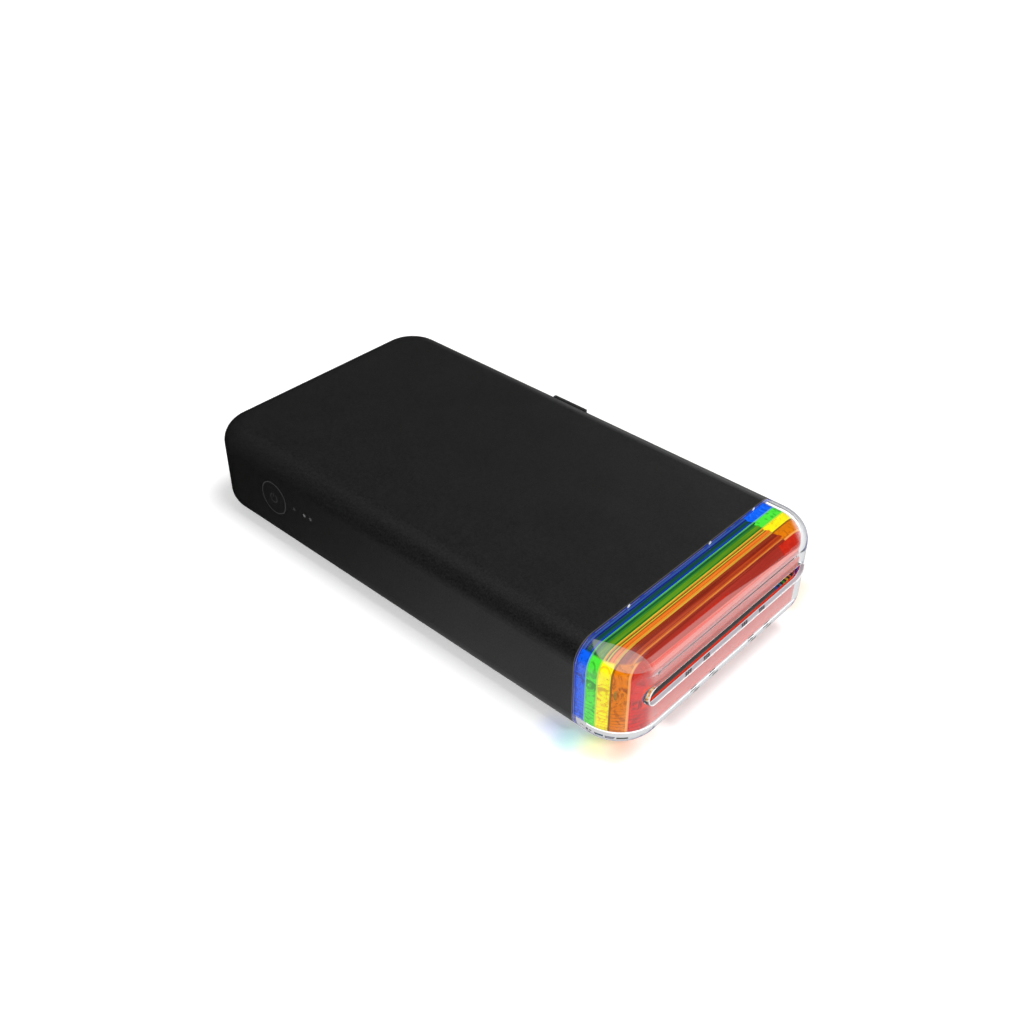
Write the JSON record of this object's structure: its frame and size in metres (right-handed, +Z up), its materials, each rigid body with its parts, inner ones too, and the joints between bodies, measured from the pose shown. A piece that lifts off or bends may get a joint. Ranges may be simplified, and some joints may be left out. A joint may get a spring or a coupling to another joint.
{
  "type": "compact photo printer",
  "caption": "Pocket dye-ribbon photo printer: matte black sleeve, clear front cap over a rainbow plate stack with a print slot, side cartridge door, roller and gear drive.",
  "frame": {"origin": "centre of the bounding box, at the resting surface under the rubber feet", "axes": "+Z up; -Y towards the print slot in the clear cap; +X towards the cartridge door; -X towards the power button"},
  "size_m": [0.079, 0.15, 0.0275],
  "materials": {
    "case_black": "fine-grained matte black",
    "cover_black": "matte black",
    "button_black": "satin black",
    "latch_black": "matte, slightly lighter black",
    "foot_rubber": "soft matte",
    "clear_acrylic": "polished clear",
    "red_acrylic": "polished, translucent",
    "orange_acrylic": "polished, translucent",
    "yellow_acrylic": "polished, translucent",
    "green_acrylic": "polished, translucent",
    "blue_acrylic": "polished, translucent",
    "chute_grey": "satin dark grey",
    "light_pipe": "milky clear",
    "led": "clear resin",
    "circuit_board": "solder mask over glass fibre",
    "chip_black": "moulded epoxy",
    "switch_metal": "stamped",
    "spring_steel": "drawn wire",
    "shaft_steel": "ground",
    "screw_steel": "blackened",
    "chassis_steel": "folded zinc-coated sheet",
    "bush_bronze": "sintered bronze",
    "battery_wrap": "foil pouch",
    "lead_red": "insulated wire",
    "socket_steel": "deep-drawn shell",
    "sink_aluminium": "extruded",
    "head_ceramic": "glazed substrate",
    "platen_rubber": "ground rubber",
    "pinch_rubber": "ground rubber",
    "gear_acetal": "moulded acetal",
    "pinion_brass": "hobbed",
    "motor_can": "nickel-plated can",
    "cartridge_grey": "moulded dark grey",
    "spool_white": "moulded",
    "ribbon_magenta": "dyed film",
    "ribbon_blue": "used dyed film",
    "photo_paper": "coated card"
  },
  "bodies": {
    "body": {"main_case": "case_black", "bottom_cover": "cover_black", "rubber_feet": "foot_rubber", "cover_screws": "screw_steel", "clear_front_cap": "clear_acrylic", "red_front_plate": "red_acrylic", "orange_plate": "orange_acrylic", "yellow_plate": "yellow_acrylic", "green_plate": "green_acrylic", "blue_plate": "blue_acrylic", "cap_backplate": "cover_black", "paper_chute": "chute_grey", "button_switch": "switch_metal", "side_board": "circuit_board", "status_lenses": "light_pipe", "status_leds": "led", "chassis": "chassis_steel", "chassis_screws": "screw_steel", "roller_bushes": "bush_bronze", "main_board": "circuit_board", "board_parts": "chip_black", "board_screws": "screw_steel", "battery_pack": "battery_wrap", "battery_lead": "lead_red", "charging_board": "circuit_board", "charging_socket": "socket_steel", "head_springs": "spring_steel", "idler_studs": "shaft_steel", "drive_motor": "motor_can"},
    "door": {"cartridge_door": "case_black", "door_hinge_pins": "shaft_steel", "latch_spring": "spring_steel"},
    "latch": {"door_latch": "latch_black"},
    "cartridge": {"cartridge_shell": "cartridge_grey", "ribbon_film": "ribbon_magenta", "paper_stack": "photo_paper"},
    "takeup_spool": {"takeup_spool": "spool_white", "takeup_ribbon": "ribbon_blue"},
    "supply_spool": {"supply_spool": "spool_white", "supply_ribbon": "ribbon_magenta"},
    "platen": {"platen_roller": "platen_rubber", "platen_shaft": "shaft_steel", "platen_gear": "gear_acetal"},
    "feed": {"feed_rollers": "platen_rubber", "feed_shaft": "shaft_steel", "feed_gear": "gear_acetal"},
    "pinch": {"pinch_rollers": "pinch_rubber", "pinch_shaft": "shaft_steel"},
    "pickup": {"pickup_roller": "platen_rubber", "pickup_shaft": "shaft_steel", "pickup_gear": "gear_acetal"},
    "transfer_gear": {"transfer_gear": "gear_acetal"},
    "front_idler": {"front_idler_gear": "gear_acetal"},
    "ribbon_drive": {"ribbon_drive_gear": "gear_acetal"},
    "motor_rotor": {"motor_pinion": "pinion_brass"},
    "print_head": {"head_heatsink": "sink_aluminium", "thermal_head": "head_ceramic", "head_guide_pins": "shaft_steel"},
    "button": {"power_button": "button_black"}
  },
  "joints": [
    {"name": "door_swing", "type": "hinge", "parent": "body", "child": "door", "pos_m": [0.038, 0.009, 0.0056], "axis": [0, 1, 0], "range_deg": [0, 90]},
    {"name": "latch_slide", "type": "slide", "parent": "door", "child": "latch", "axis": [0, 0, -1], "range_m": [0, 0.0013], "stiffness_N_per_m": 100, "springref_m": -0.001, "deforming": ["latch_spring"]},
    {"name": "cartridge_slide", "type": "slide", "parent": "body", "child": "cartridge", "axis": [1, 0, 0], "range_m": [0, 0.0035]},
    {"name": "button_press", "type": "slide", "parent": "body", "child": "button", "axis": [1, 0, 0], "range_m": [0, 0.0005], "stiffness_N_per_m": 400, "springref_m": -0.0005},
    {"name": "head_press", "type": "slide", "parent": "body", "child": "print_head", "axis": [0, 0, -1], "range_m": [0, 0.0009], "deforming": ["head_springs"]},
    {"name": "platen_spin", "type": "hinge", "parent": "body", "child": "platen", "pos_m": [0, -0.02949, 0.01215], "axis": [1, 0, 0], "continuous": true},
    {"name": "feed_spin", "type": "hinge", "parent": "body", "child": "feed", "pos_m": [0, -0.04992, 0.0125], "axis": [1, 0, 0], "continuous": true},
    {"name": "pinch_spin", "type": "hinge", "parent": "body", "child": "pinch", "pos_m": [0, -0.04992, 0.01785], "axis": [1, 0, 0], "continuous": true},
    {"name": "pickup_spin", "type": "hinge", "parent": "body", "child": "pickup", "pos_m": [0, -0.006, 0.0145], "axis": [1, 0, 0], "continuous": true},
    {"name": "transfer_spin", "type": "hinge", "parent": "body", "child": "transfer_gear", "pos_m": [0, -0.01938, 0.01662], "axis": [1, 0, 0], "continuous": true},
    {"name": "front_idler_spin", "type": "hinge", "parent": "body", "child": "front_idler", "pos_m": [0, -0.03975, 0.0097], "axis": [1, 0, 0], "continuous": true},
    {"name": "ribbon_drive_spin", "type": "hinge", "parent": "body", "child": "ribbon_drive", "pos_m": [0, -0.03975, 0.01925], "axis": [1, 0, 0], "continuous": true},
    {"name": "motor_spin", "type": "hinge", "parent": "body", "child": "motor_rotor", "pos_m": [0, 0.00401, 0.01917], "axis": [1, 0, 0], "continuous": true},
    {"name": "takeup_spin", "type": "hinge", "parent": "cartridge", "child": "takeup_spool", "pos_m": [0, -0.03975, 0.01925], "axis": [1, 0, 0], "continuous": true},
    {"name": "supply_spin", "type": "hinge", "parent": "cartridge", "child": "supply_spool", "pos_m": [0, -0.0195, 0.019], "axis": [1, 0, 0], "continuous": true}
  ],
  "couplings": [
    {"joint": "door_swing", "follows": "cartridge_slide", "rad_per_m": 448.79},
    {"joint": "feed_spin", "follows": "platen_spin", "ratio": 1},
    {"joint": "pinch_spin", "follows": "platen_spin", "ratio": -1.3182},
    {"joint": "pickup_spin", "follows": "platen_spin", "ratio": 0.6875},
    {"joint": "transfer_spin", "follows": "platen_spin", "ratio": -1},
    {"joint": "front_idler_spin", "follows": "platen_spin", "ratio": -1.1},
    {"joint": "ribbon_drive_spin", "follows": "platen_spin", "ratio": 1.2222},
    {"joint": "motor_spin", "follows": "platen_spin", "ratio": -1.8333},
    {"joint": "takeup_spin", "follows": "platen_spin", "ratio": 1.2222},
    {"joint": "supply_spin", "follows": "platen_spin", "ratio": 1.0028}
  ]
}
